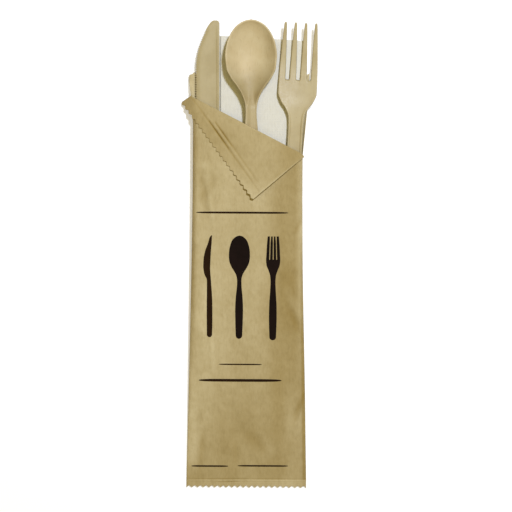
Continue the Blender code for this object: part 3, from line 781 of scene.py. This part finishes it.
# The knife
knife = dict(
    face=0.0019, rib=0.0003, edgeLeft=0.00076, tip=(-0.0189, 0.1687), lean=math.radians(0.35),
    handleFrom=0.074, handleEase=0.014, handleShift=0.0016, corner=0.0018, cornerLength=0.0023,
    tipRound=0.001, tipRoundLength=0.0012, ribWidth=0.0017, bevel=0.00022, channel=0.00035,
    toothPitch=0.00152, toothDepth=0.00115, scallop=0.00038, teethFrom=0.0045, teethTo=0.0736,
    teethFade=0.003, rounding=0.0003,
    # Widths from the spine: distance from the tip, width
    widths=metres([
        (0, 4.6), (2.3, 6.6), (7.5, 9.7), (12.7, 12), (17.9, 13.9), (24, 15.3), (30, 15.9), (74, 15.9),
        (80, 14.6), (88, 11.8), (98, 11.2), (164, 12.2),
    ]),
)


def makeKnife():
    # Rows down from the tip; across, from the spine to the toothed edge, a triangle wave. The face is
    # flat with a rib along the spine, the back rises to the edge, and both round over at the border.
    k = knife
    tipRows = k["teethFrom"] * (1 - np.cos(np.linspace(0, math.pi / 2, 22))[:-1])
    teethRows = np.arange(k["teethFrom"], k["teethTo"], k["toothPitch"] / 7)
    gone = np.concatenate([tipRows, teethRows, handleRows(k["teethTo"], 60)])[:, None]
    edge = np.array([0, 0.006, 0.016, 0.032, 0.055])
    inner = [0.085, 0.105, 0.125, 0.16, 0.22, 0.3, 0.4, 0.5, 0.6, 0.7, 0.78, 0.84, 0.89, 0.925]
    share = np.concatenate([edge, inner, 1 - edge[::-1]])[None, :]
    inHandle = ramp(gone, k["handleFrom"], k["handleFrom"] + k["handleEase"])
    width = curveThrough(k["widths"], gone)
    phase = (gone - k["teethFrom"]) / k["toothPitch"]
    wave = 1 - np.abs(2 * (phase % 1) - 1)
    toothed = ramp(gone, k["teethFrom"], k["teethFrom"] + k["teethFade"])
    toothed = toothed * ramp(gone, k["teethTo"], k["teethTo"] - k["teethFade"])
    tooth = k["toothDepth"] * wave * toothed
    corner = k["corner"] * (1 - roundEnd(gone, k["cornerLength"]))
    left = k["tipRound"] * (1 - roundEnd(gone, k["tipRoundLength"]))
    x = -corner - (width - corner - tooth - left) * share
    x = -width / 2 + (x + width / 2) * handleRound(gone) - k["handleShift"] * inHandle
    plan = grid(x, -gone)
    bent = roundEnd(borderDistance(plan, allFaces(plan)), k["rounding"])
    across = share * width
    fromEdge = width - across
    ribbed = ramp(across, k["ribWidth"] + 0.0003, k["ribWidth"] - 0.0002)
    ribbed = ribbed * ramp(gone, 0, 0.012) * (1 - inHandle)
    bevel = k["bevel"] * ramp(fromEdge, 0.0016, 0)
    bevel = bevel + k["scallop"] * (1 - wave) * toothed * ramp(fromEdge, 0.0028, 0.001)
    channel = k["channel"] * ramp(np.abs(across - width / 2), 0.0042, 0.0026) * inHandle
    channel = channel * ramp(gone, cutlery["length"] - 0.01, cutlery["length"] - 0.016)
    top = k["face"] + k["rib"] * ribbed - bevel * (1 - inHandle) - channel
    bottom = (k["face"] - k["edgeLeft"]) * ramp(share, 0.13, 1) ** 0.7 * (1 - inHandle)
    middle, half = cutlery["seat"] + (top + bottom) / 2, (top - bottom) / 2 * bent
    addCutlery("knife", k, grid(x, -gone, middle + half), grid(x, -gone, middle - half), greyBambooFinish)


makeKnife()


# The spoon
spoon = dict(
    thick=0.0013, bowl=0.057, rim=0.0078, neck=0.0056, deepest=0.025, hollowPower=0.75, sidePower=2.3,
    tip=(0.0016, 0.1693), lean=math.radians(0.35), rounding=0.0005, ridge=0.00045, groove=0.00018,
    # Half widths: distance from the tip, half width. The first knot is the bowl's widest place.
    widths=metres([
        (24.7, 16.7), (32.4, 15.8), (38, 13.3), (43.7, 9.2), (48.7, 6.1), (55, 4), (61, 3.6), (73, 4.5),
        (110, 5.6), (164, 6.3),
    ]),
)


def makeSpoon():
    # Half an ellipse to the widest place, then the outline. The underside hangs from the rim's line by
    # a hollow that is deepest down the middle; the wall stands square to it. The handle has a soft ridge.
    s = spoon
    length = cutlery["length"]
    widest, widestHalf = s["widths"][0]
    crowded = widest * (1 - np.cos(np.linspace(0, math.pi / 2, 44)))
    bowlRows = np.linspace(widest, s["bowl"], 50)[1:]
    gone = np.concatenate([crowded, bowlRows, handleRows(s["bowl"], 56)])[:, None]
    near = np.array([0, 0.006, 0.018, 0.036, 0.06, 0.09])
    share = np.concatenate([-1 + near, np.linspace(-0.87, 0.87, 33), 1 - near[::-1]])[None, :]
    oval = widestHalf * np.sqrt(np.clip(1 - (1 - gone / widest) ** 2, 0, 1))
    half = np.where(gone < widest, oval, curveThrough(s["widths"], gone) * handleRound(gone))
    rim, neck = s["rim"], s["neck"]
    rises = [(0, rim - 0.0016), (0.014, rim - 0.0003), (0.03, rim), (s["bowl"], rim - 0.0012),
             (0.071, neck), (0.09, neck - 0.0012), (length, cutlery["low"])]
    reach = np.where(gone < s["deepest"], s["deepest"], s["bowl"] - s["deepest"])
    depth = s["rim"] * np.clip(1 - ((gone - s["deepest"]) / reach) ** 2, 0, 1) ** s["hollowPower"]
    lean = np.arctan2(s["sidePower"] * depth, np.maximum(half, 0.0004))
    half = half + s["thick"] / 2 * np.sin(lean) * ramp(gone, 0, 0.004)  # the wall leans in at the rim
    x = half * share
    z = cutlery["seat"] + curveThrough(rises, gone) - depth * (1 - np.abs(share) ** s["sidePower"])
    under = grid(x, -gone, z)
    normal = surfaceNormals(under)
    distance = borderDistance(under[..., :2], allFaces(under))
    onHandle = ramp(gone, 0.044, 0.056) * ramp(gone, length - 0.006, length - 0.016)
    ridge = (s["ridge"] * bell(x, 0, 0.0014) - s["groove"] * bell(np.abs(x), 0.0026, 0.0008)) * onHandle
    centre = under + normal * s["thick"] / 2
    wall = s["thick"] / 2 * roundEnd(distance, s["rounding"])[..., None]
    top = centre + normal * wall
    top[..., 2] += ridge * ramp(distance, 0, 0.001)
    # Painted shade, deeper where the bowl runs up to the neck, at its right side and along the handle, and a
    # painted highlight pale in its hollow
    toneAndPaintedLight = ramp(gone, 0.024, 0.044) * (1 - 0.35 * ramp(gone, 0.048, 0.06))
    toneAndPaintedLight = toneAndPaintedLight + 0.3 * ramp(x, 0.006, 0.014) * ramp(gone, 0.04, 0.02)
    toneAndPaintedLight = toneAndPaintedLight - 0.45 * bell(x, -0.0043, 0.0055) * bell(gone, 0.0325, 0.0065)
    addCutlery("spoon", s, top, centre - normal * wall, warmBambooFinish, toneAndPaintedLight=np.stack([toneAndPaintedLight, toneAndPaintedLight]))


makeSpoon()


# The fork
fork = dict(
    thick=0.0016, tipThinness=0.62, dish=0.001, tip=(0.0341, 0.1672), lean=math.radians(-2.7),
    tines=0.036, pitchRoot=0.00695, pitchTip=0.0066, widthRoot=0.00425, widthTip=0.0014, taperPower=0.7,
    slotRound=0.001, rounding=0.00045, channel=0.00045, crown=0.00016,
    # Half widths: distance from the tip, half width. The first knot is the head's full half width.
    widths=metres([
        (37.6, 12.65), (45.6, 12.65), (51, 10.8), (56, 7.3), (61, 5.2), (68, 4.8), (85, 4.9),
        (120, 5.6), (164, 6.2),
    ]),
    # Line of the underside: distance from the tip, rise over its lowest point
    rises=metres([
        (0, 4.6), (12, 1.9), (28, 0), (44, 0.8), (62, 2.5), (85, 2.2),
    ]),
)


def makeFork():
    # Columns follow the edges of the four tines; the slots' faces are left out above their round ends.
    # The head rests on its belly and is dished by the square of x; the handle has a raised border.
    f = fork
    length = cutlery["length"]
    tineGone = f["tines"] * np.concatenate([[0, 0.004, 0.012, 0.024, 0.04], np.linspace(0.06, 1, 52)])
    gone = np.concatenate([tineGone, handleRows(f["tines"], 130)])[:, None]
    slotRow = len(tineGone) - 1
    t = np.clip(gone / f["tines"], 0, 1)
    wide = f["widthTip"] + (f["widthRoot"] - f["widthTip"]) * np.minimum(t * 1.15, 1) ** f["taperPower"]
    wide = wide * (0.45 + 0.55 * roundEnd(gone, f["widthTip"] * 0.8))
    pitch = f["pitchTip"] + (f["pitchRoot"] - f["pitchTip"]) * t
    inTine = np.array([0, 0.05, 0.13, 0.25, 0.4, 0.6, 0.75, 0.87, 0.95, 1])
    inSlot = np.linspace(0, 1, 9)[1:-1]
    columns, slotShare = [], []
    for tine in range(4):
        centre = (tine - 1.5) * pitch
        columns.append(centre + wide * (inTine - 0.5))
        slotShare.append(0 * inTine)
        if tine < 3:
            start = centre + wide / 2
            columns.append(start + (pitch - wide) * inSlot)
            slotShare.append((1 - (2 * inSlot - 1) ** 2) ** 0.25)
    x = np.concatenate(columns, axis=1)
    body = curveThrough(f["widths"], gone) * handleRound(gone)
    x = np.where(gone > f["tines"], body * x / x[:, -1:], x)
    below = np.clip(1 - (gone - f["tines"]) / 0.008, 0, 1) * (np.arange(len(gone))[:, None] >= slotRow)
    y = -gone - f["slotRound"] * np.concatenate(slotShare) * below
    plan = grid(x, y)
    keep = allFaces(plan)
    perTine = len(inTine) + len(inSlot)
    inSlots = np.arange(keep.shape[1]) % perTine >= len(inTine) - 1
    keep[:slotRow, inSlots] = False
    distance = borderDistance(plan, keep)
    line = curveThrough(f["rises"] + [(length, cutlery["low"])], gone)
    under = cutlery["seat"] + line + f["dish"] * (x / f["widths"][0][1]) ** 2
    thick = f["thick"] * (f["tipThinness"] + (1 - f["tipThinness"]) * ramp(gone, 0, 0.026))
    half = thick / 2 * roundEnd(distance, np.minimum(f["rounding"], thick / 2))
    onHandle = ramp(gone, 0.052, 0.062) * ramp(gone, length - 0.01, length - 0.016)
    channel = f["channel"] * onHandle * ramp(distance, 0.0009, 0.0018)
    crown = f["crown"] * ramp(gone, f["tines"] * 1.1, 0) * roundEnd(distance, 0.0012)  # tines round on top
    centre = under + thick / 2
    top = grid(x, y, centre + half - channel + crown)
    addCutlery("fork", f, top, grid(x, y, centre - half), bambooFinish, keep)


makeFork()


# The napkin: a square sheet, doubled and then rolled into four panels
napkin = dict(
    side=0.24, cut=0.212, width=0.06, length=0.12, pitch=0.00044, sheet=0.00014, floor=0.0006,
    middle=0.0068, top=0.1575, turn=math.radians(-3.15), lead=0.0022, insetTop=0.0053, insetSkew=-0.06,
    rows=48, panelRows=26,
)


def backRise(x, y):  # how high the back panel's face curls up at a point of the plan
    up = (y - pouch["foldRight"]) / (pouch["top"] - pouch["foldRight"])
    flat = np.where(up > 0, np.clip(1 - up, 0, 1) ** pouch["flattening"], 1)
    height = bulge(y) * flat
    return height / 2 - roundSide(x, height)


def rolledPath(pitch, width):
    # Panels at levels 0, 3, 2 and 1, joined by half circles: x, z, the way that the sheet faces, and
    # how far each point moves with the left fold
    half, turn = width / 2, np.linspace(0, math.pi, 11)[1:-1]
    right, left, inner = half - 1.5 * pitch, -half + 0.5 * pitch, half - 2.2 * pitch
    runs = [(-half, right, 0), (right, left, 3), (left, inner, 2), (inner, -half + 1.6 * pitch, 1)]
    arcs = [(right, 1.5, 1.5, 1, 1), (left, 2.5, 0.5, -1, -1), (inner, 1.5, 0.5, 1, -1)]
    pieces = []
    for number, (start, end, level) in enumerate(runs):
        way = 1.0 if end > start else -1.0
        line = np.linspace(start, end, napkin["panelRows"])
        follow = np.clip((half - line) / width, 0, 1) * (number > 0)
        pieces.append([line, 0 * line + level * pitch, 0 * line, 0 * line + way, follow])
        if number < len(arcs):
            centreX, centreZ, radius, side, up = arcs[number]
            pathX = centreX + side * radius * pitch * np.sin(turn)
            pathZ = (centreZ - up * radius * np.cos(turn)) * pitch
            pieces.append([pathX, pathZ, -up * np.sin(turn), way * np.cos(turn), 0 * turn + (side < 0)])
    return np.concatenate(pieces, axis=1)


def makeNapkin():
    # Down one half of the doubled sheet, round its fold at the top and back down the other half, each
    # row of points set off from the rolled path by a quarter of its pitch
    n = napkin
    pathX, pathZ, faceX, faceZ, follow = rolledPath(n["pitch"], n["width"])
    gap = n["pitch"] / 4
    bend = np.linspace(0, math.pi, 9)[1:-1]
    run = np.linspace(0, 1, n["rows"])
    level = n["length"] - gap
    along = np.concatenate([-level + level * run, gap * np.sin(bend), -level * run])[:, None]
    beside = np.full(n["rows"], gap)
    offset = np.concatenate([-beside, -gap * np.cos(bend), beside])[:, None]
    x = pathX + faceX * offset + follow * (n["insetTop"] + n["insetSkew"] * along)
    z = pathZ + faceZ * offset
    y = along - gap + 0 * x
    cos, sin = math.cos(n["turn"]), math.sin(n["turn"])
    x, y = n["middle"] + x * cos - y * sin, n["top"] + x * sin + y * cos
    z = n["floor"] + n["pitch"] / 2 + z + backRise(x + np.copysign(n["lead"], x), y)
    quads = gridQuads(*x.shape)
    piece = addPiece("foldedNapkin", grid(x, y, z), quads, tissueFinish, "tissue", "napkin")
    addWall(piece, "wall", n["sheet"], 0)
    return piece


foldedNapkin = makeNapkin()
print("napkin made:", len(foldedNapkin.data.polygons), "faces")


# Floor, light and camera
studio = dict(
    middle=(0.00575, 0.01564, 0.0045), viewWidth=0.3328, lens=180.0, sensor=36.0, roll=math.radians(0.35),
    floorHalf=6.0, floorLevel=-0.0002, floorColour=(0.9, 0.9, 0.9, 1), floorFaint=(0.885, 0.885, 0.88, 1),
    floorGlow=0.3, glowColour=(0.85, 0.92, 1.12, 1), worldLight=0.3, warmFill=(1, 0.82, 0.35, 1),
    # Lights: place, size, power, colour
    keyUpperRight=((0.33, 0.6, 1.15), 0.16, 15.3, (0.775, 0.837, 1)),
    softTop=((-0.05, 0.0, 2.1), 1.6, 9.0, (1, 0.82, 0.35)),
)


def makeFloor():  # a wide square just below the set; its faint glow keeps the ground white
    finish, tree, shader = newFinish("paleFloor", dict(roughness=0.9, gloss=0.1))
    place = addNode(tree, "TexCoord").outputs["Object"]
    faint = spread(tree, noiseField(tree, place, 6, 2), 0.3, 0.7)
    feed(tree, blended(tree, faint, studio["floorColour"], studio["floorFaint"]), shader.inputs["Base Color"])
    shader.inputs["Emission Color"].default_value = studio["glowColour"]
    shader.inputs["Emission Strength"].default_value = studio["floorGlow"]
    corners = np.array([(-1, -1, 0), (1, -1, 0), (1, 1, 0), (-1, 1, 0)]) * studio["floorHalf"]
    mesh = bpy.data.meshes.new("paleFloor")
    mesh.from_pydata(corners + [0, 0, studio["floorLevel"]], [], [(0, 1, 2, 3)])
    mesh.materials.append(finish)
    floor = addObject("paleFloor", mesh)


def makeLight(name, place, size, power, colour):  # a square softbox that faces the set
    light = bpy.data.lights.new(name, "AREA")
    light.shape = "SQUARE"
    light.size = size
    light.energy = power
    light.color = colour
    lamp = addObject(name, light)
    lamp.location = place
    towards = Vector(studio["middle"]) - Vector(place)
    lamp.rotation_euler = towards.to_track_quat("-Z", "Y").to_euler()


def makeWorld():  # warm light from all sides, and plain colours without a film curve
    world = bpy.data.worlds.new("studio")
    world.use_nodes = True
    background = world.node_tree.nodes["Background"]
    background.inputs[0].default_value = studio["warmFill"]
    background.inputs[1].default_value = studio["worldLight"]
    bpy.context.scene.world = world
    bpy.context.scene.view_settings.view_transform = "Standard"


def makeCamera():  # overhead, as far up as fits the view's width: width x lens / sensor
    data = bpy.data.cameras.new("overhead")
    data.type = "PERSP"
    data.lens = studio["lens"]
    data.sensor_width = studio["sensor"]
    data.clip_start = 0.01
    data.clip_end = 50
    camera = addObject("overhead", data)
    x, y, z = studio["middle"]
    camera.location = (x, y, z + studio["viewWidth"] * studio["lens"] / studio["sensor"])
    camera.rotation_euler = (0, 0, studio["roll"])
    bpy.context.scene.camera = camera


makeFloor()
for name in ("keyUpperRight", "softTop"):
    makeLight(name, *studio[name])
makeWorld()
makeCamera()
print("studio made")
